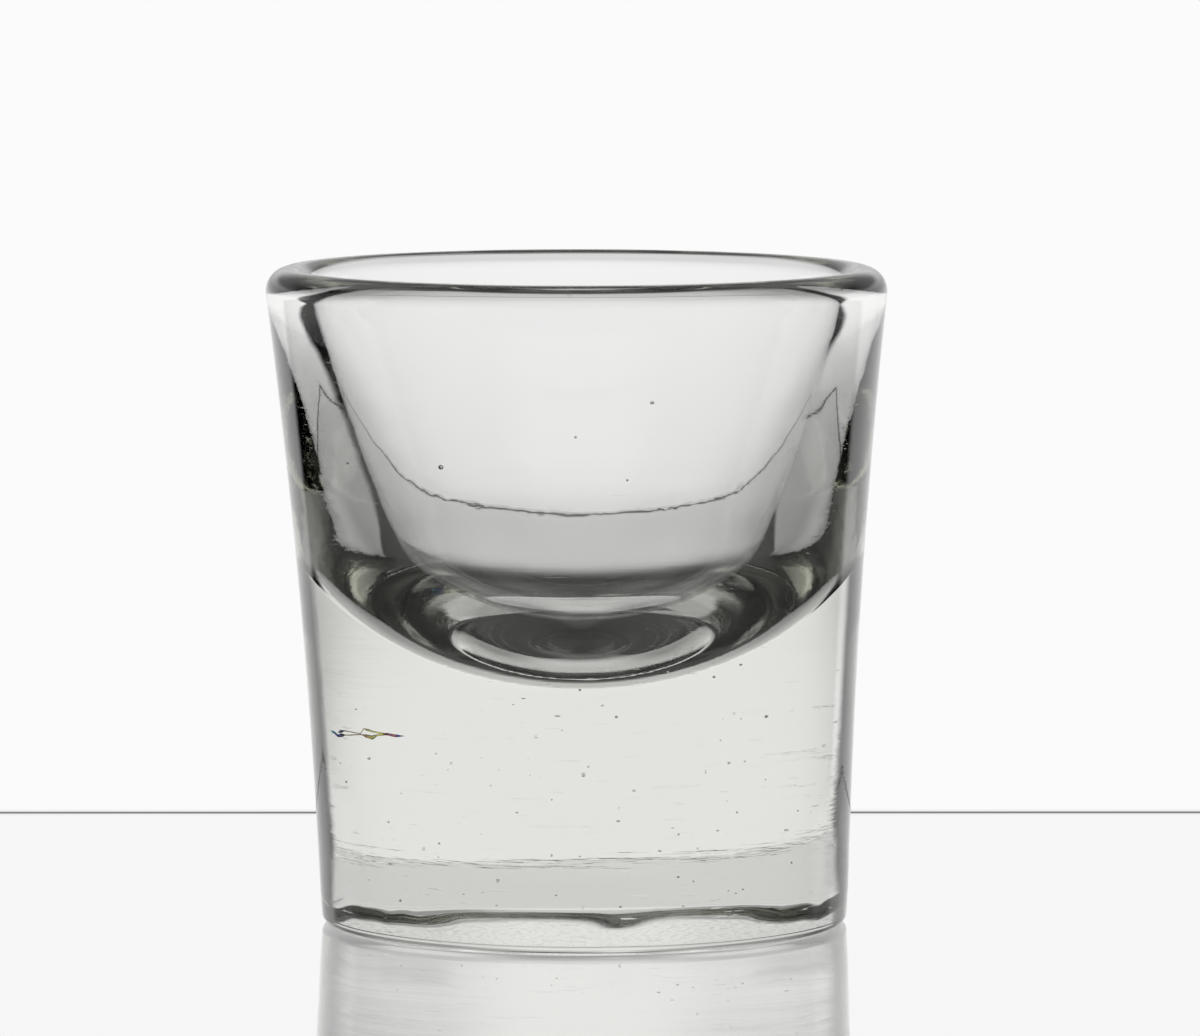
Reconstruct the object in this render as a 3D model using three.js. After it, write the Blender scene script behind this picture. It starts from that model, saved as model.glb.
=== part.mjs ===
// Genever glass: a small, heavy tumbler in one piece of thick, hand-made glass.
//
// It is one revolved solid. The profile runs from the centre of the flat foot out to
// the heel, up the hollow-flared outer wall, over the fire-polished lip, down the
// inside wall and round the bowl to the axis again. Every stretch meets the next with
// the same tangent, so no edge shows anywhere but at the foot.
//
// Millimetres, +Z up, origin at the centre of the foot's underside.

import * as THREE from 'three';

// Outside
const height = 63.4; // foot to the top of the lip
const lipDiameter = 60; // across the widest part of the lip
const footDiameter = 51; // across the foot, where the line of the wall would meet the table
const heelRadius = 0.9; // the softened edge between foot and wall
const wallHollow = 0.65; // how far the middle of the wall lies inside a straight taper

// Lip
const lipThickness = 4.5; // the lip is a full half round of this width

// Cavity
const baseThickness = 24; // solid glass under the middle of the bowl
const bowlRadius = 20.35; // round bottom of the cavity
const bowlSweep = 67; // degrees of arc from the bottom of the bowl to its side
const mouthFlare = 3.6; // degrees by which the inside wall still opens at the lip
const lipReach = 0.23; // how far down the inside wall the slope at the lip is felt, as a share of it
const bowlReach = 0.19; // how far up it the slope at the bowl is felt, as a share of it

// Fineness of the faceted solid
const stepsAround = 80;
const wallSteps = 12;
const lipSteps = 14;
const heelSteps = 5;
const sideSteps = 13;
const bowlSteps = 12;

// A profile point: x is the radius and y the height.
const point = (radius, up) => new THREE.Vector2(radius, up);

// The direction that climbs at this many degrees from the vertical, away from the axis.
function climb(degreesFromVertical) {
	const lean = THREE.MathUtils.degToRad(degreesFromVertical);
	return point(Math.sin(lean), Math.cos(lean));
}

// The half round of the lip. It starts square to the outer wall and ends square to the inner one.
function lipArc(outerLean, innerLean) {
	const radius = lipThickness / 2;
	const centre = point(lipDiameter / 2 - radius, height - radius);
	const start = -outerLean;
	const end = Math.PI - innerLean;
	return new THREE.EllipseCurve(centre.x, centre.y, radius, radius, start, end);
}

// The outer wall, from the sharp corner at the foot up to the lip, drawn in by wallHollow.
function outerWall(foot, lip) {
	const middle = point((foot.x + lip.x) / 2, (foot.y + lip.y) / 2);
	const across = point(foot.y - lip.y, lip.x - foot.x).normalize();
	const pull = middle.addScaledVector(across, 2 * wallHollow);
	return new THREE.QuadraticBezierCurve(foot, pull, lip);
}

// Rounds the sharp corner between the flat foot and the wall, which leaves it along wallStart.
function heelArc(corner, wallStart) {
	const lean = Math.atan2(wallStart.x, wallStart.y);
	const setBack = heelRadius * Math.tan((Math.PI / 2 - lean) / 2);
	const centre = point(corner.x - setBack, heelRadius);
	return new THREE.EllipseCurve(centre.x, centre.y, heelRadius, heelRadius, -Math.PI / 2, -lean);
}

// The round bottom of the cavity, from its side down to the axis.
function bowlArc() {
	const centreUp = baseThickness + bowlRadius;
	const side = -Math.PI / 2 + THREE.MathUtils.degToRad(bowlSweep);
	return new THREE.EllipseCurve(0, centreUp, bowlRadius, bowlRadius, side, -Math.PI / 2, true);
}

// The inside wall, from the lip down to the side of the bowl, tangent to both.
function innerWall(lip, side) {
	const length = lip.distanceTo(side);
	const below = lip.clone().addScaledVector(climb(mouthFlare), -lipReach * length);
	const above = side.clone().addScaledVector(climb(90 - bowlSweep), bowlReach * length);
	return new THREE.CubicBezierCurve(lip, below, above, side);
}

// How far the top of the outer wall leans out, in radians. The wall ends on the lip's half round,
// square to it, so the lean is settled by closing in on it: three rounds are exact to a micron.
function outerLean(foot) {
	let lean = 0;
	for (let round = 0; round < 3; round++) {
		const end = lipArc(lean, 0).getPoint(0);
		const direction = outerWall(foot, end).getTangent(1);
		lean = Math.atan2(direction.x, direction.y);
	}
	return lean;
}

// The whole profile, foot centre to bowl bottom.
function profile() {
	const foot = point(footDiameter / 2, 0);
	const innerLean = THREE.MathUtils.degToRad(mouthFlare);
	const lip = lipArc(outerLean(foot), innerLean);
	const wall = outerWall(foot, lip.getPoint(0));
	const heel = heelArc(foot, wall.getTangent(0));
	const bowl = bowlArc();
	const inside = innerWall(lip.getPoint(1), bowl.getPoint(0));

	// The heel takes the place of the lowest stretch of the wall.
	const heelTop = heel.getPoint(1);
	const wallPoints = wall.getPoints(wallSteps).filter((p) => p.y > 2 * heelTop.y);

	return [
		point(0, 0),
		...heel.getPoints(heelSteps),
		...wallPoints.slice(0, -1),
		...lip.getPoints(lipSteps),
		...inside.getPoints(sideSteps).slice(1, -1),
		...bowl.getPoints(bowlSteps).slice(0, -1),
		point(0, baseThickness),
	];
}

// Colourless soda glass with a faint grey-green cast.
const clearGlass = new THREE.MeshStandardMaterial({
	name: 'clear_glass',
	color: 0xe9efea,
	roughness: 0.02,
	metalness: 0,
	transparent: true,
	opacity: 0.35,
});

// LatheGeometry turns about Y, so the finished solid is stood up to turn about Z.
function tumbler() {
	const solid = new THREE.LatheGeometry(profile(), stepsAround);
	solid.rotateX(Math.PI / 2);
	const mesh = new THREE.Mesh(solid, clearGlass);
	mesh.name = 'glass_body';
	return mesh;
}

const geneverGlass = new THREE.Group();
geneverGlass.name = 'genever_glass';
geneverGlass.add(tumbler());

export default geneverGlass;
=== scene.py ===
"""A small heavy genever glass: the clear body, what is caught in it, and the plate it stands on."""

import math

import bpy
from bpy.props import (
    FloatProperty,
    FloatVectorProperty,
    IntProperty,
    PointerProperty,
)
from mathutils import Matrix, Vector


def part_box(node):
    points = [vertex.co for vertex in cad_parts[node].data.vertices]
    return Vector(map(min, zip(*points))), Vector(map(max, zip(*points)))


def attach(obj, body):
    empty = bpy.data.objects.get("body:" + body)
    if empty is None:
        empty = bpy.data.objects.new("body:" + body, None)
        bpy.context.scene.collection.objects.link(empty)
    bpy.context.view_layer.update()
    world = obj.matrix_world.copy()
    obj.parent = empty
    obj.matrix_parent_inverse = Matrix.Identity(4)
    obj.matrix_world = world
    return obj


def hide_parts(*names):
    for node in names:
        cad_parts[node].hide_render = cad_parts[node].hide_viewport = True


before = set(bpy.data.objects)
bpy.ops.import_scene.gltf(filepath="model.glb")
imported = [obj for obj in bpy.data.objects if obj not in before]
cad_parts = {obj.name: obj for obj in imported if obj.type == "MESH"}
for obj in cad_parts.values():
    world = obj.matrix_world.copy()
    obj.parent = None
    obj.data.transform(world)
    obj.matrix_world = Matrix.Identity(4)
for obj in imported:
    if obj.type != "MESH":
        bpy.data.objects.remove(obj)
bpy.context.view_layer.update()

bl_info = {
    "name": "Genever Glass",
    "version": (1, 0, 0),
    "blender": (4, 5, 0),
    "location": "View3D > Sidebar > Glassware",
    "description": "Turns a small thick-based drinking glass with a rounded bowl",
    "category": "Object",
}

MM = 0.001
LOWEST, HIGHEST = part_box("glass_body")

# Fineness of the turned body, the thread and the seeds.
STEPS_AROUND = 288
HEEL_STEPS = 12
WALL_STEPS = 70
LIP_STEPS = 30
SIDE_STEPS = 60
BOWL_STEPS = 44
THREAD_SIDES = 8
THREAD_STEPS = 90
SEED_SUBDIVISIONS = 3


# Sizes and colours


class GlassSettings(bpy.types.PropertyGroup):
    """Sizes and colour of the turned glass."""

    height: FloatProperty(
        name="Height",
        description="Foot to the top of the lip",
        default=HIGHEST.z - LOWEST.z,
        unit="LENGTH",
    )
    lip_diameter: FloatProperty(
        name="Lip Diameter",
        description="Across the widest part of the lip",
        default=HIGHEST.x - LOWEST.x,
        unit="LENGTH",
    )
    foot_diameter: FloatProperty(
        name="Foot Diameter",
        description="Across the foot, where the line of the wall would meet the table",
        default=51 * MM,
        unit="LENGTH",
    )
    heel_radius: FloatProperty(
        name="Heel Radius",
        description="Softened edge between foot and wall",
        default=0.9 * MM,
        unit="LENGTH",
    )
    wall_hollow: FloatProperty(
        name="Wall Hollow",
        description="How far the middle of the wall lies inside a straight taper",
        default=0.65 * MM,
        unit="LENGTH",
    )
    lip_thickness: FloatProperty(
        name="Lip Thickness",
        description="Width of the half-round lip",
        default=4.5 * MM,
        unit="LENGTH",
    )
    base_thickness: FloatProperty(
        name="Base Thickness",
        description="Solid glass under the middle of the bowl",
        default=24.0 * MM,
        unit="LENGTH",
    )
    bowl_radius: FloatProperty(
        name="Bowl Radius",
        description="Round bottom of the cavity",
        default=20.35 * MM,
        unit="LENGTH",
    )
    bowl_sweep: FloatProperty(
        name="Bowl Sweep",
        description="Arc from the bottom of the bowl to its side",
        default=math.radians(67),
        subtype="ANGLE",
    )
    mouth_flare: FloatProperty(
        name="Mouth Flare",
        description="How much the inside wall still opens at the lip",
        default=math.radians(3.6),
        subtype="ANGLE",
    )
    lip_reach: FloatProperty(
        name="Lip Reach",
        description="How far down the inside wall the slope at the lip is felt, as a share of it",
        default=0.23,
        subtype="FACTOR",
    )
    bowl_reach: FloatProperty(
        name="Bowl Reach",
        description="How far up the inside wall the slope at the bowl is felt, as a share of it",
        default=0.19,
        subtype="FACTOR",
    )
    lean: FloatProperty(
        name="Lean",
        description="How far the lip stands to the left of the foot",
        default=0.78 * MM,
        unit="LENGTH",
    )
    waves: FloatProperty(
        name="Surface Waves",
        description="Depth of the slow waves that hand work leaves in the walls",
        default=0.02 * MM,
        unit="LENGTH",
    )
    heel_wear: FloatProperty(
        name="Heel Wear",
        description="How unevenly the heel is worn and melted round",
        default=0.16 * MM,
        unit="LENGTH",
    )
    refractive_index: FloatProperty(
        name="Refractive Index",
        description="Index of the soda glass",
        default=1.49,
    )
    tint: FloatVectorProperty(
        name="Tint",
        description="Colour that thick glass takes on",
        default=(0.66, 0.68, 0.58),
        subtype="COLOR",
        size=3,
    )
    tint_strength: FloatProperty(
        name="Tint Strength",
        description="How quickly the glass takes on its tint, per metre",
        default=10.0,
    )


class FlawSettings(bpy.types.PropertyGroup):
    """What is caught in the glass."""

    seed_count: IntProperty(
        name="Seeds",
        description="Tiny air bubbles spread through the solid base",
        default=150,
    )
    seed_radius: FloatProperty(
        name="Seed Radius",
        description="Radius of the largest of the spread bubbles",
        default=0.1 * MM,
        unit="LENGTH",
    )
    clear_wall: FloatProperty(
        name="Clear Wall",
        description="How far the spread bubbles stay away from the outer wall",
        default=2 * MM,
        unit="LENGTH",
    )
    clear_top: FloatProperty(
        name="Clear Top",
        description="How far they stay below the bottom of the bowl",
        default=1 * MM,
        unit="LENGTH",
    )
    thread_height: FloatProperty(
        name="Thread Height",
        description="How high in the wall the trapped thread lies",
        default=19.85 * MM,
        unit="LENGTH",
    )
    thread_depth: FloatProperty(
        name="Thread Depth",
        description="Distance of the trapped thread from the axis",
        default=25.3 * MM,
        unit="LENGTH",
    )
    scatter: IntProperty(
        name="Scatter",
        description="Picks another spread of bubbles",
        default=4,
    )


class StageSettings(bpy.types.PropertyGroup):
    """The plate under the glass and the light round it."""

    plate_side: FloatProperty(
        name="Plate Side",
        description="Side of the square plate",
        default=0.178,
        unit="LENGTH",
    )
    plate_thickness: FloatProperty(
        name="Plate Thickness",
        description="Thickness of the plate",
        default=6 * MM,
        unit="LENGTH",
    )
    plate_gap: FloatProperty(
        name="Plate Gap",
        description="How far the plate lies below the foot, so that the two faces don't meet",
        default=0.08 * MM,
        unit="LENGTH",
    )
    backdrop: FloatProperty(
        name="Backdrop",
        description="Brightness of the white backdrop",
        default=0.965,
    )


# Helpers for node trees


def put(tree, kind, inputs=(), **settings):
    """Adds a node, with its settings and with values or links on its inputs."""
    made = tree.nodes.new(kind)
    for name, value in settings.items():
        setattr(made, name, value)
    for key, value in dict(inputs).items():
        socket = made.inputs[key]
        if isinstance(value, bpy.types.NodeSocket):
            tree.links.new(value, socket)
        else:
            socket.default_value = value
    return made


def maths(tree, operation, *values, clamp=False):
    """Adds a Math node and returns its result."""
    return put(tree, "ShaderNodeMath", enumerate(values), operation=operation, use_clamp=clamp).outputs[0]


def vectors(tree, operation, *values):
    """Adds a Vector Math node and returns its result."""
    made = put(tree, "ShaderNodeVectorMath", enumerate(values), operation=operation)
    return made.outputs["Value" if operation in ("LENGTH", "DOT_PRODUCT") else "Vector"]


def ramp(tree, value, start, end, low=0.0, high=1.0, smooth=True):
    """Runs from low to high as value goes from start to end, and stays there."""
    inputs = {0: value, 1: start, 2: end, 3: low, 4: high}
    kind = "SMOOTHSTEP" if smooth else "LINEAR"
    return put(tree, "ShaderNodeMapRange", inputs, interpolation_type=kind).outputs[0]


def window(tree, value, rise, fall):
    """1 where value lies between the rise and the fall, each a (start, end) pair, and 0 outside them."""
    return maths(tree, "MULTIPLY", ramp(tree, value, *rise), ramp(tree, value, *fall, 1.0, 0.0))


def scaled(tree, vector, factor):
    """The vector times a number."""
    return put(tree, "ShaderNodeVectorMath", {0: vector, "Scale": factor}, operation="SCALE").outputs[0]


def noise(tree, place, scale, detail=0.0, roughness=0.5):
    """The value of a noise texture."""
    inputs = {"Vector": place, "Scale": scale, "Detail": detail, "Roughness": roughness}
    return put(tree, "ShaderNodeTexNoise", inputs).outputs[0]


def new_material(name):
    """A bare material: its tree and output node."""
    material = bpy.data.materials.new(name)
    material.use_nodes = True
    material.node_tree.nodes.clear()
    return material, material.node_tree, put(material.node_tree, "ShaderNodeOutputMaterial")


def new_shape_tree(name, sockets):
    """A geometry node tree with named inputs, and its two end nodes."""
    tree = bpy.data.node_groups.new(name, "GeometryNodeTree")
    side = tree.interface.new_socket
    side("Geometry", in_out="INPUT", socket_type="NodeSocketGeometry")
    for label, kind in sockets:
        side(label, in_out="INPUT", socket_type=kind)
    side("Geometry", in_out="OUTPUT", socket_type="NodeSocketGeometry")
    return tree, put(tree, "NodeGroupInput"), put(tree, "NodeGroupOutput")


def finish_tree(tree, shape, material, result):
    """Ends a tree: smooth shading, real geometry and the material."""
    smooth = put(tree, "GeometryNodeSetShadeSmooth", {"Geometry": shape.outputs[0]})
    real = put(tree, "GeometryNodeRealizeInstances", {0: smooth.outputs[0]})
    final = put(tree, "GeometryNodeSetMaterial", {"Geometry": real.outputs[0], "Material": material})
    tree.links.new(final.outputs[0], result.inputs[0])


def shape_by_nodes(name, mesh, tree, values):
    """Runs the tree on the mesh and returns the result as a plain object."""
    guide = bpy.data.objects.new(name + "_guide", mesh)
    bpy.context.scene.collection.objects.link(guide)
    modifier = guide.modifiers.new("shape", "NODES")
    modifier.node_group = tree
    for item in tree.interface.items_tree:
        if item.in_out == "INPUT" and item.name in values:
            modifier[item.identifier] = values[item.name]
    guide.update_tag()
    shaped = guide.evaluated_get(bpy.context.evaluated_depsgraph_get())
    plain = bpy.data.meshes.new_from_object(shaped)
    guide.modifiers.remove(modifier)
    bpy.data.objects.remove(guide)
    plain.name = name
    piece = bpy.data.objects.new(name, plain)
    bpy.context.scene.collection.objects.link(piece)
    if len(plain.polygons) == 0:
        raise RuntimeError(name + " came out empty")
    return piece


# Profile


def climb(lean):
    """The direction that climbs at this lean from the vertical, away from the axis."""
    return Vector((math.sin(lean), math.cos(lean)))


def arc(centre, radius, start, end, steps):
    """Points on an arc, both ends among them."""
    turns = [start + (end - start) * i / steps for i in range(steps + 1)]
    return [centre + radius * Vector((math.cos(a), math.sin(a))) for a in turns]


def bezier(corners, steps):
    """Points on a Bezier curve of any degree, both ends among them."""
    points = []
    for i in range(steps + 1):
        level = list(corners)
        while len(level) > 1:
            level = [a.lerp(b, i / steps) for a, b in zip(level, level[1:])]
        points.append(level[0])
    return points


def outer_wall(settings, lip):
    """Corners of the hollow-flared outer wall, from the sharp corner at the foot."""
    foot = Vector((settings.foot_diameter / 2, 0))
    across = Vector((foot.y - lip.y, lip.x - foot.x)).normalized()
    return [foot, (foot + lip) / 2 + across * 2 * settings.wall_hollow, lip]


def lip_round(settings, outer_lean, inner_lean, steps):
    """The half round of the lip, square to both walls."""
    radius = settings.lip_thickness / 2
    centre = Vector((settings.lip_diameter / 2 - radius, settings.height - radius))
    return arc(centre, radius, -outer_lean, math.pi - inner_lean, steps)


def inner_wall(settings, lip):
    """Corners of the inside wall, tangent to the lip and to the bowl."""
    sweep, radius = settings.bowl_sweep, settings.bowl_radius
    centre = settings.base_thickness + radius
    side = Vector((radius * math.sin(sweep), centre - radius * math.cos(sweep)))
    length = (lip - side).length
    below = lip - climb(settings.mouth_flare) * length * settings.lip_reach
    above = side + climb(math.pi / 2 - sweep) * length * settings.bowl_reach
    return [lip, below, above, side]


def glass_profile(settings):
    """Radius and height of the whole profile, from the middle of the foot to the bottom of the bowl."""
    outer_lean = 0.0
    for _ in range(4):
        start = lip_round(settings, outer_lean, 0, 1)[0]
        _, pull, end = outer_wall(settings, start)
        outer_lean = math.atan2(end.x - pull.x, end.y - pull.y)
    lip = lip_round(settings, outer_lean, settings.mouth_flare, LIP_STEPS)
    wall = outer_wall(settings, lip[0])

    foot_lean = math.atan2(wall[1].x - wall[0].x, wall[1].y - wall[0].y)
    radius = settings.heel_radius
    set_back = radius * math.tan((math.pi / 2 - foot_lean) / 2)
    heel = arc(Vector((wall[0].x - set_back, radius)), radius, -math.pi / 2, -foot_lean, HEEL_STEPS)

    # Rings close to the heel keep the shading of the flat foot flat.
    shares = (0, 0.2, 0.4, 0.6, 0.75, 0.85, 0.92, 0.96, 0.985, 0.995)
    foot = [Vector((heel[0].x * share, 0)) for share in shares]
    side = [p for p in bezier(wall, WALL_STEPS) if p.y > 1.5 * radius]
    inside = bezier(inner_wall(settings, lip[-1]), SIDE_STEPS)
    centre = Vector((0, settings.base_thickness + settings.bowl_radius))
    low = -math.pi / 2
    bowl = arc(centre, settings.bowl_radius, low + settings.bowl_sweep, low, BOWL_STEPS)
    profile = foot + heel + side[:-1] + lip + inside[1:-1] + bowl[:-1]
    return profile + [Vector((0, settings.base_thickness))]


# Body


def turning_tree():
    """Turns a profile about the upright axis, then gives it the unevenness of hand work."""
    sockets = [
        ("Steps Around", "NodeSocketInt"),
        ("Height", "NodeSocketFloat"),
        ("Lean", "NodeSocketFloat"),
        ("Waves", "NodeSocketFloat"),
        ("Heel Wear", "NodeSocketFloat"),
        ("Heel Height", "NodeSocketFloat"),
        ("Material", "NodeSocketMaterial"),
    ]
    tree, given, result = new_shape_tree("turned glass", sockets)
    size = given.outputs
    place = put(tree, "GeometryNodeInputPosition").outputs[0]
    sheet = turned_sheet(tree, size, place)
    whole = put(tree, "GeometryNodeMergeByDistance", {"Geometry": sheet, "Distance": 0.001 * MM})

    up = put(tree, "ShaderNodeSeparateXYZ", {0: place}).outputs["Z"]
    offset = vectors(tree, "ADD", surface_waves(tree, size, place, up), heel_wear(tree, size, place, up))
    # The lip stays in the middle and the foot stands to its right.
    drop = maths(tree, "SUBTRACT", 1.0, maths(tree, "DIVIDE", up, size["Height"]), clamp=True)
    shift = put(tree, "ShaderNodeCombineXYZ", {0: maths(tree, "MULTIPLY", drop, size["Lean"])}).outputs[0]
    offset = vectors(tree, "ADD", offset, shift)

    shaped = put(tree, "GeometryNodeSetPosition", {"Geometry": whole.outputs[0], "Offset": offset})
    finish_tree(tree, shaped, size["Material"], result)
    return tree


def turned_sheet(tree, size, place):
    """A wrapped sheet of points: a column for each step round and a row for each profile point."""
    count = put(tree, "GeometryNodeAttributeDomainSize", {0: size["Geometry"]}, component="MESH")
    rows = count.outputs["Point Count"]
    columns = maths(tree, "ADD", size["Steps Around"], 1)
    sheet = put(tree, "GeometryNodeMeshGrid", {"Vertices X": columns, "Vertices Y": rows})
    index = put(tree, "GeometryNodeInputIndex").outputs[0]
    row = maths(tree, "MODULO", index, rows)
    # Half a step keeps the division clear of rounding.
    column = maths(tree, "FLOOR", maths(tree, "DIVIDE", maths(tree, "ADD", index, 0.5), rows))
    turn = maths(tree, "MULTIPLY", maths(tree, "DIVIDE", column, size["Steps Around"]), 2 * math.pi)
    sample = put(
        tree,
        "GeometryNodeSampleIndex",
        {"Geometry": size["Geometry"], "Index": row},
        data_type="FLOAT_VECTOR",
        domain="POINT",
    )
    tree.links.new(place, sample.inputs["Value"])
    spun = put(
        tree,
        "ShaderNodeVectorRotate",
        {"Vector": sample.outputs[0], "Angle": turn},
        rotation_type="Z_AXIS",
    )
    inputs = {"Geometry": sheet.outputs[0], "Position": spun.outputs[0]}
    return put(tree, "GeometryNodeSetPosition", inputs).outputs[0]


def surface_waves(tree, size, place, up):
    """Slow waves, longer round the glass than up it, that only take away and spare the foot."""
    # The swell stays below this.
    most = 1.25
    off_foot = ramp(tree, up, 0.0, 6 * MM)
    stretched = vectors(tree, "MULTIPLY", place, (1.0, 1.0, 2.2))
    slow = noise(tree, stretched, 95.0, 1.0)
    quick = noise(tree, stretched, 330.0)
    swell = maths(tree, "ADD", slow, maths(tree, "MULTIPLY", quick, 0.22))
    depth = maths(tree, "MULTIPLY", maths(tree, "SUBTRACT", swell, most), size["Waves"])
    normal = put(tree, "GeometryNodeInputNormal").outputs[0]
    return scaled(tree, normal, maths(tree, "MULTIPLY", depth, off_foot))


def heel_wear(tree, size, place, up):
    """The uneven wear of the heel: its points move in towards the axis, and nowhere below the foot."""
    flat = vectors(tree, "MULTIPLY", place, (1.0, 1.0, 0.0))
    bite = ramp(tree, noise(tree, flat, 75.0, 2.0), 0.3, 0.7)
    high = maths(tree, "DIVIDE", up, size["Heel Height"])
    near = window(tree, high, (0.0, 0.35), (1.0, 4.0))
    outside = ramp(tree, vectors(tree, "LENGTH", flat), 22 * MM, 24.5 * MM)
    pull = maths(tree, "MULTIPLY", maths(tree, "MULTIPLY", bite, near), outside)
    pull = maths(tree, "MULTIPLY", pull, size["Heel Wear"])
    return scaled(tree, vectors(tree, "NORMALIZE", flat), maths(tree, "MULTIPLY", pull, -1.0))


def clear_glass(settings):
    """Colourless soda glass, faintly grey-green where it is thick, with tool lines and a scuffed foot."""
    material, tree, output = new_material("clear_glass")
    place = put(tree, "ShaderNodeTexCoord").outputs["Object"]
    parts = put(tree, "ShaderNodeSeparateXYZ", {0: place}).outputs
    height = parts["Z"]

    # Faint level lines where the turning glass was tooled. The upper wall keeps a little of them.
    lines = noise(tree, vectors(tree, "MULTIPLY", place, (60.0, 60.0, 1500.0)), 1.0, 3.0, 0.6)
    fade = ramp(tree, height, 18 * MM, 32 * MM, 1.0, 0.12)
    low = maths(tree, "MULTIPLY", ramp(tree, height, 4.8 * MM, 8 * MM), fade)
    tooled = maths(tree, "MULTIPLY", lines, low)

    # Short scuffs, mostly along the lower wall.
    strokes = noise(tree, vectors(tree, "MULTIPLY", place, (260.0, 260.0, 3800.0)), 1.0, 2.0)
    fewer = ramp(tree, height, 20 * MM, 30 * MM, 1.0, 0.2)
    scuffs = maths(tree, "MULTIPLY", ramp(tree, strokes, 0.69, 0.78), fewer)

    # The fine ripple of a surface that set while it was worked. It is stronger on one side of the
    # bowl, where the tool left the glass last.
    ripple = noise(tree, place, 620.0, 1.0)
    reach = vectors(tree, "LENGTH", vectors(tree, "MULTIPLY", place, (1.0, 1.0, 0.0)))
    within = ramp(tree, reach, 19.5 * MM, 21.5 * MM, 1.0, 0.0)
    bowl = maths(tree, "MULTIPLY", within, ramp(tree, height, 22 * MM, 26 * MM))
    band = window(tree, height, (28 * MM, 33 * MM), (39 * MM, 44 * MM))
    one_side = ramp(tree, parts["Y"], 0.0, 6 * MM)
    rough_side = maths(tree, "MULTIPLY", maths(tree, "MULTIPLY", bowl, band), one_side)
    ripple_depth = maths(tree, "ADD", 0.35, maths(tree, "MULTIPLY", rough_side, 3.0))

    raised = maths(tree, "MULTIPLY", tooled, 1.6)
    relief = maths(tree, "SUBTRACT", raised, maths(tree, "MULTIPLY", scuffs, 1.5))
    relief = maths(tree, "ADD", relief, maths(tree, "MULTIPLY", ripple, ripple_depth))
    bump = put(tree, "ShaderNodeBump", {"Height": relief, "Strength": 1.0, "Distance": 0.006 * MM})

    # The foot is ground and worn: a dull ring where it touches the table.
    grain = noise(tree, place, 2500.0, 3.0)
    on_table = ramp(tree, height, 0.02 * MM, 0.2 * MM, 1.0, 0.0)
    worn = maths(tree, "MULTIPLY", ramp(tree, grain, 0.45, 0.7), on_table)
    dull = maths(tree, "MAXIMUM", maths(tree, "MULTIPLY", worn, 0.25), maths(tree, "MULTIPLY", scuffs, 0.1))
    surface = put(
        tree,
        "ShaderNodeBsdfPrincipled",
        {
            "Base Color": (1.0, 1.0, 1.0, 1.0),
            "Roughness": dull,
            "IOR": settings.refractive_index,
            "Transmission Weight": 1.0,
            "Normal": bump.outputs[0],
        },
    )
    inside = put(
        tree,
        "ShaderNodeVolumeAbsorption",
        {"Color": (*settings.tint, 1.0), "Density": settings.tint_strength},
    )
    tree.links.new(surface.outputs[0], output.inputs["Surface"])
    tree.links.new(inside.outputs[0], output.inputs["Volume"])
    return material


def signed_volume(mesh):
    """Volume of a closed mesh, below 0 where its faces point inwards."""
    mesh.calc_loop_triangles()
    total = 0.0
    for triangle in mesh.loop_triangles:
        a, b, c = (mesh.vertices[i].co for i in triangle.vertices)
        total += a.dot(b.cross(c)) / 6
    return total


class GENEVER_OT_turn_glass(bpy.types.Operator):
    """Turns the glass body from its profile"""

    bl_idname = "genever.turn_glass"
    bl_label = "Turn Glass"
    bl_options = {"REGISTER", "UNDO"}

    def execute(self, context):
        settings = context.scene.genever_glass
        profile = glass_profile(settings)
        edges = [(i, i + 1) for i in range(len(profile) - 1)]
        guide = bpy.data.meshes.new("glass_profile")
        guide.from_pydata([(p.x, 0, p.y) for p in profile], edges, [])
        values = {
            "Steps Around": STEPS_AROUND,
            "Height": settings.height - settings.lip_thickness / 2,
            "Lean": settings.lean,
            "Waves": settings.waves,
            "Heel Wear": settings.heel_wear,
            "Heel Height": settings.heel_radius,
            "Material": clear_glass(settings),
        }
        glass = shape_by_nodes("glass", guide, turning_tree(), values)
        if signed_volume(glass.data) < 0:
            raise RuntimeError("the glass body is inside out")
        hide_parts("glass_body")
        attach(glass, "root")
        return {"FINISHED"}


# Seeds and thread

# Larger bubbles: across, towards the front, up, and radius, in millimetres.
LARGE_SEEDS = [
    (-12.6, -24.4, 46.1, 0.22),
    (-21.3, -17.1, 45.9, 0.15),
    (7.0, -27.3, 52.4, 0.14),
    (-0.1, -27.8, 49.2, 0.11),
    (4.7, -27.1, 45.1, 0.11),
    (3.7, -25.5, 22.6, 0.14),
    (0.3, -25.8, 25.2, 0.13),
    (12.8, -22.8, 26.1, 0.13),
    (8.5, -24.7, 26.8, 0.10),
    (15.3, -21.3, 27.1, 0.12),
    (-21.6, -12.2, 14.9, 0.11),
]


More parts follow.
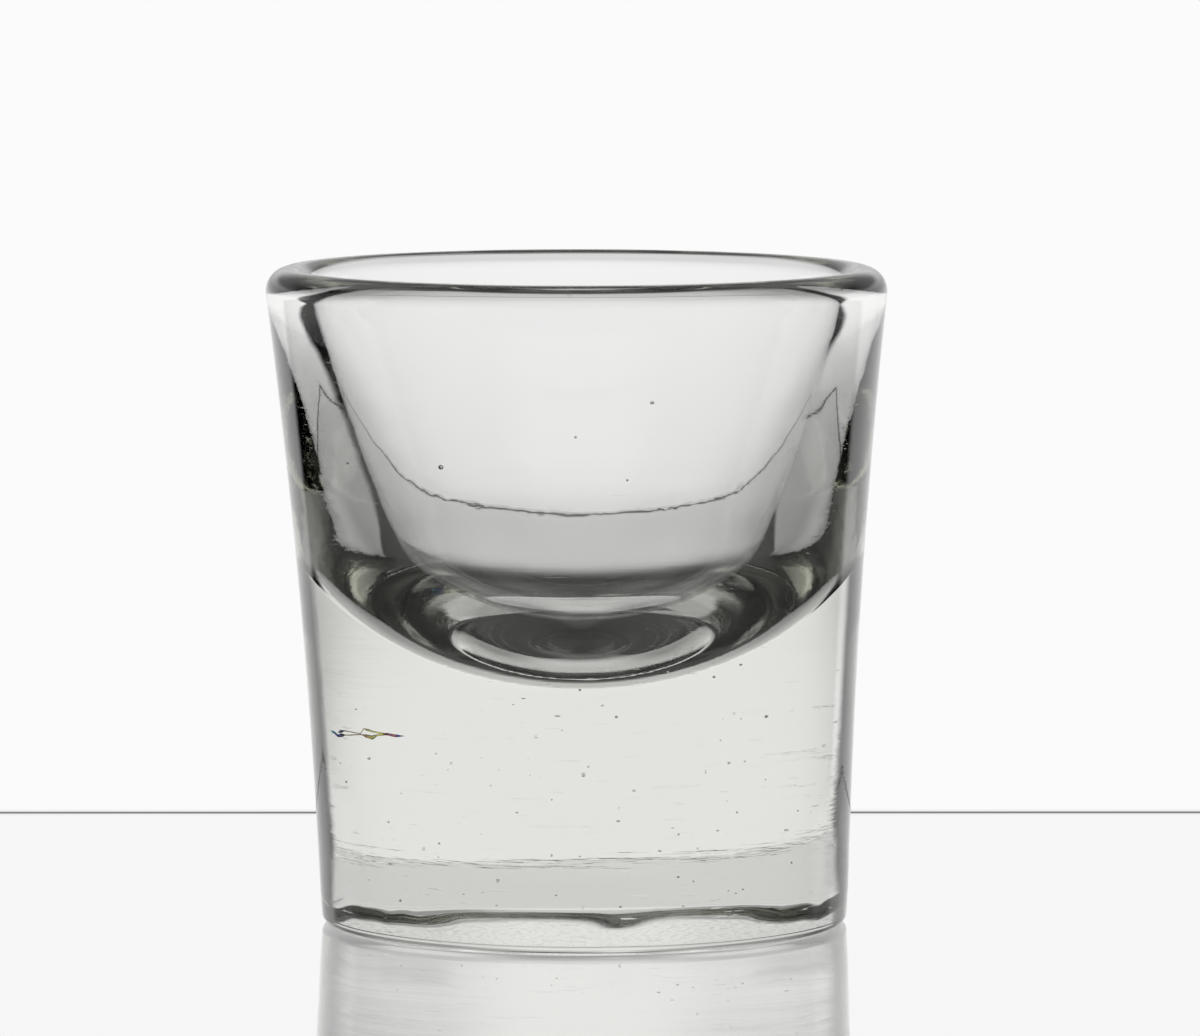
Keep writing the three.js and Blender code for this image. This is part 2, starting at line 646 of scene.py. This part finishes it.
def seed_tree():
    """Air bubbles: some at given places, many spread through the base, each drawn a little long."""
    sockets = [
        ("Spread Count", "NodeSocketInt"),
        ("Spread Radius", "NodeSocketFloat"),
        ("Base Radius", "NodeSocketFloat"),
        ("Base Height", "NodeSocketFloat"),
        ("Scatter", "NodeSocketInt"),
        ("Material", "NodeSocketMaterial"),
    ]
    tree, given, result = new_shape_tree("seeds", sockets)
    size = given.outputs

    def chance(low, high, step):
        """A number for each bubble, from low to high."""
        inputs = {2: low, 3: high, "Seed": maths(tree, "ADD", size["Scatter"], step)}
        return put(tree, "FunctionNodeRandomValue", inputs, data_type="FLOAT").outputs[1]

    # Many small ones, spread evenly over the base and smaller more often than large.
    turn = chance(0.0, 2 * math.pi, 1)
    out = maths(tree, "MULTIPLY", maths(tree, "SQRT", chance(0.0, 1.0, 2)), size["Base Radius"])
    across = maths(tree, "MULTIPLY", out, maths(tree, "COSINE", turn))
    along = maths(tree, "MULTIPLY", out, maths(tree, "SINE", turn))
    up = maths(tree, "MULTIPLY", chance(0.08, 1.0, 3), size["Base Height"])
    where = put(tree, "ShaderNodeCombineXYZ", {0: across, 1: along, 2: up}).outputs[0]
    small = maths(tree, "MULTIPLY", maths(tree, "POWER", chance(0.4, 1.0, 4), 2.0), size["Spread Radius"])
    inputs = {"Count": size["Spread Count"], "Position": where, "Radius": small}
    spread = put(tree, "GeometryNodePoints", inputs)

    # The larger ones, at their own places.
    named = put(tree, "GeometryNodeInputNamedAttribute", {"Name": "radius"}, data_type="FLOAT")
    inputs = {"Mesh": size["Geometry"], "Radius": named.outputs[0]}
    placed = put(tree, "GeometryNodeMeshToPoints", inputs)
    every = put(tree, "GeometryNodeJoinGeometry")
    for points in (placed, spread):
        tree.links.new(points.outputs[0], every.inputs[0])

    # Each is drawn out in the direction in which the glass was turned.
    radius = put(tree, "GeometryNodeInputRadius").outputs[0]
    lengths = {0: chance(1.0, 1.5, 5), 1: 1.0, 2: chance(0.8, 1.05, 6)}
    stretch = scaled(tree, put(tree, "ShaderNodeCombineXYZ", lengths).outputs[0], radius)
    here = put(tree, "GeometryNodeInputPosition").outputs[0]
    spots = put(tree, "ShaderNodeSeparateXYZ", {0: here}).outputs
    facing = maths(tree, "ADD", maths(tree, "ARCTAN2", spots["Y"], spots["X"]), math.pi / 2)
    turned = put(tree, "ShaderNodeCombineXYZ", {2: facing}).outputs[0]
    bubble = put(tree, "GeometryNodeMeshIcoSphere", {"Radius": 1.0, "Subdivisions": SEED_SUBDIVISIONS})
    inputs = {
        "Points": every.outputs[0],
        "Instance": bubble.outputs[0],
        "Rotation": turned,
        "Scale": stretch,
    }
    copies = put(tree, "GeometryNodeInstanceOnPoints", inputs)
    finish_tree(tree, copies, size["Material"], result)
    return tree


def trapped_air(settings):
    """The surface of a bubble, seen from the glass round it."""
    material, tree, output = new_material("trapped_air")
    air = put(
        tree,
        "ShaderNodeBsdfGlass",
        {"Color": (1.0, 1.0, 1.0, 1.0), "Roughness": 0.0, "IOR": 1 / settings.refractive_index},
    )
    tree.links.new(air.outputs[0], output.inputs["Surface"])
    return material


class GENEVER_OT_add_seeds(bpy.types.Operator):
    """Puts the tiny air bubbles in the glass"""

    bl_idname = "genever.add_seeds"
    bl_label = "Add Seeds"
    bl_options = {"REGISTER", "UNDO"}

    def execute(self, context):
        settings, flaws = context.scene.genever_glass, context.scene.genever_flaws
        guide = bpy.data.meshes.new("seed_places")
        guide.from_pydata([tuple(v * MM for v in s[:3]) for s in LARGE_SEEDS], [], [])
        sizes = guide.attributes.new("radius", "FLOAT", "POINT")
        sizes.data.foreach_set("value", [s[3] * MM for s in LARGE_SEEDS])
        values = {
            "Spread Count": flaws.seed_count,
            "Spread Radius": flaws.seed_radius,
            "Base Radius": settings.foot_diameter / 2 - flaws.clear_wall,
            "Base Height": settings.base_thickness - flaws.clear_top,
            "Scatter": flaws.scatter,
            "Material": trapped_air(settings),
        }
        seeds = shape_by_nodes("seeds", guide, seed_tree(), values)
        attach(seeds, "root")
        return {"FINISHED"}


# The two strands of the thread: how far along it, how far above its middle line, and half its
# thickness, the last two in millimetres.
THREAD_STRANDS = [
    [
        (0.0, 0.0, 0.03),
        (0.05, -0.1, 0.12),
        (0.15, -0.4, 0.13),
        (0.2, -0.3, 0.18),
        (0.26, -0.25, 0.05),
        (0.5, -0.08, 0.05),
        (0.57, -0.18, 0.16),
        (0.63, -0.28, 0.2),
        (0.71, -0.02, 0.08),
        (0.8, 0.12, 0.12),
        (0.91, 0.0, 0.14),
        (1.0, 0.0, 0.02),
    ],
    [
        (0.13, -0.1, 0.02),
        (0.18, 0.05, 0.15),
        (0.25, 0.15, 0.05),
        (0.48, 0.03, 0.04),
        (0.53, 0.52, 0.05),
        (0.57, 0.42, 0.11),
        (0.65, 0.28, 0.08),
        (0.75, 0.16, 0.09),
        (0.82, 0.12, 0.03),
    ],
]
# Where round the glass the thread starts, to the left of the front, and how far round it runs.
THREAD_START = math.radians(66.5)
THREAD_RUN = math.radians(27)
# How much higher its middle line ends than it starts, and how far apart the strands lie in depth.
THREAD_RISE = 0.55 * MM
STRAND_GAP = 0.12 * MM


def strand_line(places):
    """Points of a strand, eased from place to place: share along, height, half thickness."""
    line = [places[0]]
    for (along0, up0, thick0), (along1, up1, thick1) in zip(places, places[1:]):
        steps = max(3, round(THREAD_STEPS * (along1 - along0)))
        for i in range(1, steps + 1):
            share = i / steps
            eased = share * share * (3 - 2 * share)
            along = along0 + (along1 - along0) * share
            line.append((along, up0 + (up1 - up0) * eased, thick0 + (thick1 - thick0) * eased))
    return line


def thread_guide(flaws):
    """Two strands that part at two knots and run close together elsewhere."""
    points, edges, radii = [], [], []
    for strand, places in enumerate(THREAD_STRANDS):
        away = flaws.thread_depth - strand * STRAND_GAP
        for i, (along, up, thickness) in enumerate(strand_line(places)):
            turn = THREAD_START - THREAD_RUN * along
            height = flaws.thread_height + THREAD_RISE * (along - 0.5) + up * MM
            points.append((-away * math.sin(turn), -away * math.cos(turn), height))
            radii.append(thickness * MM)
            if i > 0:
                edges.append((len(points) - 2, len(points) - 1))
    guide = bpy.data.meshes.new("thread_line")
    guide.from_pydata(points, edges, [])
    guide.attributes.new("radius", "FLOAT", "POINT").data.foreach_set("value", radii)
    return guide


def thread_tree():
    """Sweeps a round section along the strands."""
    tree, given, result = new_shape_tree("thread", [("Material", "NodeSocketMaterial")])
    named = put(tree, "GeometryNodeInputNamedAttribute", {"Name": "radius"}, data_type="FLOAT")
    line = put(tree, "GeometryNodeMeshToCurve", {0: given.outputs["Geometry"]})
    section = put(tree, "GeometryNodeCurvePrimitiveCircle", {"Resolution": THREAD_SIDES, "Radius": 1.0})
    inputs = {
        "Curve": line.outputs[0],
        "Profile Curve": section.outputs[0],
        "Scale": named.outputs[0],
        "Fill Caps": True,
    }
    swept = put(tree, "GeometryNodeCurveToMesh", inputs)
    finish_tree(tree, swept, given.outputs["Material"], result)
    return tree


def thread_glass():
    """Stringy glass of another make: yellow and brown along the middle, blue at its ends."""
    material, tree, output = new_material("thread_glass")
    place = put(tree, "ShaderNodeTexCoord").outputs["Object"]
    across = put(tree, "ShaderNodeSeparateXYZ", {0: place}).outputs["X"]
    along = ramp(tree, across, -23.2 * MM, -15.4 * MM, smooth=False)
    streaks = noise(tree, place, 1500.0, 2.0)
    strayed = maths(tree, "MULTIPLY", maths(tree, "SUBTRACT", streaks, 0.5), 0.35)
    colours = put(tree, "ShaderNodeValToRGB", {"Fac": maths(tree, "ADD", along, strayed)})
    stops = [
        (0.0, (0.2, 0.75, 0.9)),
        (0.1, (0.1, 0.1, 0.55)),
        (0.2, (0.75, 0.65, 0.15)),
        (0.42, (0.35, 0.22, 0.12)),
        (0.58, (0.8, 0.8, 0.25)),
        (0.74, (0.5, 0.16, 0.12)),
        (0.86, (0.08, 0.07, 0.5)),
        (1.0, (0.3, 0.8, 0.9)),
    ]
    scale = colours.color_ramp.elements
    for spot, _ in stops[2:]:
        scale.new(spot)
    for stop, (spot, colour) in zip(scale, stops):
        stop.position, stop.color = spot, (*colour, 1.0)
    surface = put(
        tree,
        "ShaderNodeBsdfPrincipled",
        {
            "Base Color": colours.outputs[0],
            "Roughness": maths(tree, "MULTIPLY", streaks, 0.25),
            "IOR": 1.3,
            "Transmission Weight": 1.0,
        },
    )
    tree.links.new(surface.outputs[0], output.inputs["Surface"])
    return material


class GENEVER_OT_add_thread(bpy.types.Operator):
    """Lays the stray thread of glass in the wall"""

    bl_idname = "genever.add_thread"
    bl_label = "Add Thread"
    bl_options = {"REGISTER", "UNDO"}

    def execute(self, context):
        guide = thread_guide(context.scene.genever_flaws)
        thread = shape_by_nodes("thread", guide, thread_tree(), {"Material": thread_glass()})
        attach(thread, "root")
        return {"FINISHED"}


# Stage


def facing_share(tree, index):
    """The share of light that a clear plate mirrors, from both its faces."""
    once = put(tree, "ShaderNodeFresnel", {"IOR": index}).outputs[0]
    return maths(tree, "DIVIDE", maths(tree, "MULTIPLY", once, 2.0), maths(tree, "ADD", once, 1.0))


def plate_top(settings):
    """The clear, polished top of the plate, with painted shade round it: a dark grey glow where the arris
    lies.
    """
    material, tree, output = new_material("clear_plate")
    place = put(tree, "ShaderNodeTexCoord").outputs["Object"]
    sides = put(tree, "ShaderNodeSeparateXYZ", {0: vectors(tree, "ABSOLUTE", place)}).outputs
    outwards = maths(tree, "MAXIMUM", sides["X"], sides["Y"])
    inwards = maths(tree, "SUBTRACT", settings.plate_side / 2, outwards)
    # Painted shade: the arris is a thin line of dark grey glow 3 mm inside the edge, in a wider and fainter
    # one.
    off = maths(tree, "ABSOLUTE", maths(tree, "SUBTRACT", inwards, 3 * MM))
    thin = ramp(tree, off, 0.5 * MM, 1.1 * MM, 0.62, 0.0)
    faint = ramp(tree, off, 0.0, 3 * MM, 0.2, 0.0)
    sheet = put(tree, "ShaderNodeBsdfTransparent", {"Color": (0.95, 0.95, 0.945, 1.0)})
    mirror = put(tree, "ShaderNodeBsdfAnisotropic", {"Color": (0.97, 0.97, 0.97, 1.0), "Roughness": 0.0})
    inputs = {0: facing_share(tree, 1.5), 1: sheet.outputs[0], 2: mirror.outputs[0]}
    top = put(tree, "ShaderNodeMixShader", inputs)
    # Painted shade: the arris glows a fixed dark grey, whatever light reaches it.
    grey = put(tree, "ShaderNodeEmission", {"Color": (0.05, 0.05, 0.05, 1.0), "Strength": 1.0})
    inputs = {0: maths(tree, "ADD", thin, faint), 1: top.outputs[0], 2: grey.outputs[0]}
    face = put(tree, "ShaderNodeMixShader", inputs)
    tree.links.new(face.outputs[0], output.inputs["Surface"])
    return material


def plate_edge_glow():
    """The ground edges of the plate: a painted pale grey glow from outside, in place of the light the edge
    glass shows, unseen from within.
    """
    material, tree, output = new_material("plate_edge_glow")
    inside = put(tree, "ShaderNodeNewGeometry").outputs["Backfacing"]
    # Painted light: from outside the edges glow pale grey at a fixed brightness, whatever lights them.
    grey = put(tree, "ShaderNodeEmission", {"Color": (0.55, 0.56, 0.55, 1.0), "Strength": 1.0})
    clear = put(tree, "ShaderNodeBsdfTransparent", {"Color": (1.0, 1.0, 1.0, 1.0)})
    edge = put(tree, "ShaderNodeMixShader", {0: inside, 1: grey.outputs[0], 2: clear.outputs[0]})
    tree.links.new(edge.outputs[0], output.inputs["Surface"])
    return material


def curve_of(tree, value, low, high, points):
    """A value that follows a curve through (place, value) points, as its input goes from low to high."""
    place = ramp(tree, value, low, high, smooth=False)
    made = put(tree, "ShaderNodeFloatCurve", {"Value": place})
    most = max(y for _, y in points)
    line = made.mapping.curves[0]
    for _ in range(len(points) - 2):
        line.points.new(0.5, 0.5)
    for dot, (x, y) in zip(line.points, points):
        dot.location = ((x - low) / (high - low), y / most)
        dot.handle_type = "AUTO_CLAMPED"
    made.mapping.update()
    return maths(tree, "MULTIPLY", made.outputs[0], most)


# Brightness of the studio at each height in degrees above eye level: straight behind the glass, on
# the flanks of the backdrop, beside the glass and before it.
BACKDROP_MIDDLE = (
    [(-90, 0.03), (-72, 0.05), (-60, 0.04), (-47, 0.52), (-38, 0.78), (-30, 0.76), (-22, 0.9), (-14, 0.98)]
    + [(-2, 1.0), (2, 0.78), (5, 0.8), (7, 1.0), (8.5, 1.0), (14, 0.82), (22, 0.6), (32, 0.2)]
    + [(45, 0.04), (62, 0.04), (90, 0.1)]
)
BACKDROP_FLANK = (
    [(-90, 0.03), (-60, 0.06), (-47, 0.42), (-38, 0.36), (-30, 0.48), (-22, 0.7), (-14, 0.95), (-7, 1.0)]
    + [(-2, 1.0), (2, 0.78), (5, 0.78), (8.5, 0.9), (14, 0.4), (22, 0.4), (32, 0.74), (45, 0.5)]
    + [(62, 0.12), (90, 0.08)]
)
ROOM_SIDE = [(-90, 0.03), (-55, 0.06), (-45, 0.03), (-25, 0.0), (0, 0.0), (10, 0.02), (90, 0.03)]
ROOM_FRONT = (
    [(-90, 0.03), (-72, 0.15), (-55, 0.75), (-42, 0.62), (-30, 0.52), (-22, 0.3), (-8, 0.0), (0, 0.1)]
    + [(10, 0.05), (25, 0.02), (45, 0.1), (90, 0.04)]
)
# A soft grey glow beside and before the glass, where the floor runs up into the wall.
FLOOR_GLOW = (
    [(-90, 0.0), (-27, 0.02), (-19, 0.1), (-15, 0.25), (-10, 0.3), (-4.5, 0.3), (-2, 0.0), (90, 0.0)]
)
# Half the width of the backdrop at each height, in degrees, and how softly it ends.
BACKDROP_WIDTH = (
    [(-90, 10), (-50, 12), (-38, 48), (-25, 46), (-13, 39.5), (-8, 43), (0, 62), (10, 62), (20, 46)]
    + [(35, 56), (50, 90), (90, 90)]
)
BACKDROP_SOFTNESS = [(-90, 4), (0, 3), (15, 12), (40, 20), (90, 20)]
# How far the backdrop is shifted to the right below eye level, and between which heights that
# ends, all in degrees.
BACKDROP_SHIFT = 4
SHIFT_ENDS = (-8, -4)
# Between which directions, in degrees round from straight behind the glass, the backdrop's middle
# turns into its flanks, the side of the room into its front, and the glow starts and doubles.
MIDDLE_TO_FLANK = (6, 24)
SIDE_TO_FRONT = (132, 162)
GLOW_STARTS = (60, 75)
GLOW_DOUBLES = (95, 132)


def studio_light(settings):
    """A white backdrop behind the glass, a grey studio round it, and dark cards beside and over it."""
    world = bpy.data.worlds.new("studio")
    bpy.context.scene.world = world
    world.use_nodes = True
    tree = world.node_tree
    tree.nodes.clear()
    output = put(tree, "ShaderNodeOutputWorld")
    way = put(tree, "ShaderNodeTexCoord").outputs["Generated"]
    parts = put(tree, "ShaderNodeSeparateXYZ", {0: way}).outputs
    round_about = maths(tree, "DEGREES", maths(tree, "ARCTAN2", parts["X"], parts["Y"]))
    aside = maths(tree, "ABSOLUTE", round_about)
    up = maths(tree, "DEGREES", maths(tree, "ARCSINE", parts["Z"]))

    def by_height(points):
        """A value that changes with height."""
        return curve_of(tree, up, -90, 90, points)

    def mix(share, a, b):
        """The first value, or the second where share is 1."""
        return put(tree, "ShaderNodeMix", {0: share, 2: a, 3: b}, data_type="FLOAT").outputs[0]

    # Below eye level the backdrop reaches a little further to the right and less to the left.
    to_right = maths(tree, "SIGN", round_about)
    further = maths(tree, "MULTIPLY", to_right, ramp(tree, up, *SHIFT_ENDS, BACKDROP_SHIFT, 0.0))
    past = maths(tree, "SUBTRACT", aside, maths(tree, "ADD", by_height(BACKDROP_WIDTH), further))
    lit = ramp(tree, maths(tree, "DIVIDE", past, by_height(BACKDROP_SOFTNESS)), -1.0, 1.0, 1.0, 0.0)
    white = mix(ramp(tree, aside, *MIDDLE_TO_FLANK), by_height(BACKDROP_MIDDLE), by_height(BACKDROP_FLANK))
    backdrop = maths(tree, "MULTIPLY", white, settings.backdrop)
    room = mix(ramp(tree, aside, *SIDE_TO_FRONT), by_height(ROOM_SIDE), by_height(ROOM_FRONT))
    # The glow starts beside the backdrop and is half as bright at the sides as before the glass.
    start = ramp(tree, aside, *GLOW_STARTS)
    reach = maths(tree, "MULTIPLY", start, ramp(tree, aside, *GLOW_DOUBLES, 0.5, 1.0))
    glow = maths(tree, "MULTIPLY", by_height(FLOOR_GLOW), reach)
    total = mix(lit, maths(tree, "MAXIMUM", room, glow), backdrop)
    light = put(tree, "ShaderNodeBackground", {"Color": (1.0, 1.0, 1.0, 1.0), "Strength": total})
    tree.links.new(light.outputs[0], output.inputs["Surface"])


# The photograph's frame in pixels, the size of a pixel at the glass, and the middle of the foot in
# the frame.
FRAME_WIDTH, FRAME_HEIGHT = 1200, 1036
PIXEL = 0.0971 * MM
FOOT_IN_FRAME = (576.5, 919.0)
# Where the camera stands: how far before the glass, and how steeply it sees the foot.
CAMERA_AWAY = 9285 * PIXEL
CAMERA_LOOKS_DOWN = math.radians(7.6)


def set_camera():
    """Puts the camera at the photograph's angle, with the middle of the foot at its place in the frame."""
    above = CAMERA_AWAY * math.tan(CAMERA_LOOKS_DOWN)
    lens = math.hypot(CAMERA_AWAY, above) / PIXEL
    down = math.atan2(above, CAMERA_AWAY) - math.atan((FOOT_IN_FRAME[1] - FRAME_HEIGHT / 2) / lens)
    aside = math.atan((FOOT_IN_FRAME[0] - FRAME_WIDTH / 2) / lens)
    data = bpy.data.cameras.new("camera")
    data.sensor_width = 36
    data.lens = data.sensor_width * lens / FRAME_WIDTH
    data.clip_start, data.clip_end = 0.05, 20
    camera = bpy.data.objects.new("camera", data)
    camera.location = (0, -CAMERA_AWAY, above)
    camera.rotation_euler = (math.pi / 2 - down, 0, aside)
    bpy.context.scene.collection.objects.link(camera)
    bpy.context.scene.camera = camera


class GENEVER_OT_set_stage(bpy.types.Operator):
    """Lays the plate, lights it and places the camera"""

    bl_idname = "genever.set_stage"
    bl_label = "Set Stage"
    bl_options = {"REGISTER", "UNDO"}

    def execute(self, context):
        settings = context.scene.genever_stage
        half, top = settings.plate_side / 2, -settings.plate_gap
        bottom = top - settings.plate_thickness
        mesh = bpy.data.meshes.new("plate")
        corners = [(x, y, z) for z in (bottom, top) for y in (-half, half) for x in (-half, half)]
        faces = [(0, 2, 3, 1), (4, 5, 7, 6), (0, 1, 5, 4), (2, 6, 7, 3), (0, 4, 6, 2), (1, 3, 7, 5)]
        mesh.from_pydata(corners, [], faces)
        mesh.materials.append(plate_top(settings))
        mesh.materials.append(plate_edge_glow())
        # The second face is the top.
        mesh.polygons.foreach_set("material_index", [1, 0, 1, 1, 1, 1])
        plate = bpy.data.objects.new("plate", mesh)
        context.scene.collection.objects.link(plate)
        studio_light(settings)
        set_camera()

        cycles = context.scene.cycles
        cycles.max_bounces = 28
        cycles.transmission_bounces = 28
        cycles.glossy_bounces = 14
        cycles.transparent_max_bounces = 14
        cycles.caustics_reflective = True
        cycles.caustics_refractive = True
        cycles.blur_glossy = 0.0
        context.scene.view_settings.view_transform = "Standard"
        return {"FINISHED"}


# Panel


class GENEVER_PT_panel(bpy.types.Panel):
    """Lists the steps and their sizes"""

    bl_label = "Genever Glass"
    bl_idname = "GENEVER_PT_panel"
    bl_space_type = "VIEW_3D"
    bl_region_type = "UI"
    bl_category = "Glassware"

    def draw(self, context):
        groups = [
            (context.scene.genever_glass, ["genever.turn_glass"]),
            (context.scene.genever_flaws, ["genever.add_seeds", "genever.add_thread"]),
            (context.scene.genever_stage, ["genever.set_stage"]),
        ]
        for group, steps in groups:
            box = self.layout.box()
            for name in group.__annotations__:
                box.prop(group, name)
            for step in steps:
                box.operator(step)


CLASSES = (
    GlassSettings,
    FlawSettings,
    StageSettings,
    GENEVER_OT_turn_glass,
    GENEVER_OT_add_seeds,
    GENEVER_OT_add_thread,
    GENEVER_OT_set_stage,
    GENEVER_PT_panel,
)


def register():
    for item in CLASSES:
        bpy.utils.register_class(item)
    bpy.types.Scene.genever_glass = PointerProperty(type=GlassSettings)
    bpy.types.Scene.genever_flaws = PointerProperty(type=FlawSettings)
    bpy.types.Scene.genever_stage = PointerProperty(type=StageSettings)


def unregister():
    del bpy.types.Scene.genever_stage
    del bpy.types.Scene.genever_flaws
    del bpy.types.Scene.genever_glass
    for item in reversed(CLASSES):
        bpy.utils.unregister_class(item)


def main():
    register()
    bpy.ops.genever.turn_glass()
    bpy.ops.genever.add_seeds()
    bpy.ops.genever.add_thread()
    bpy.ops.genever.set_stage()


if __name__ == "__main__":
    main()
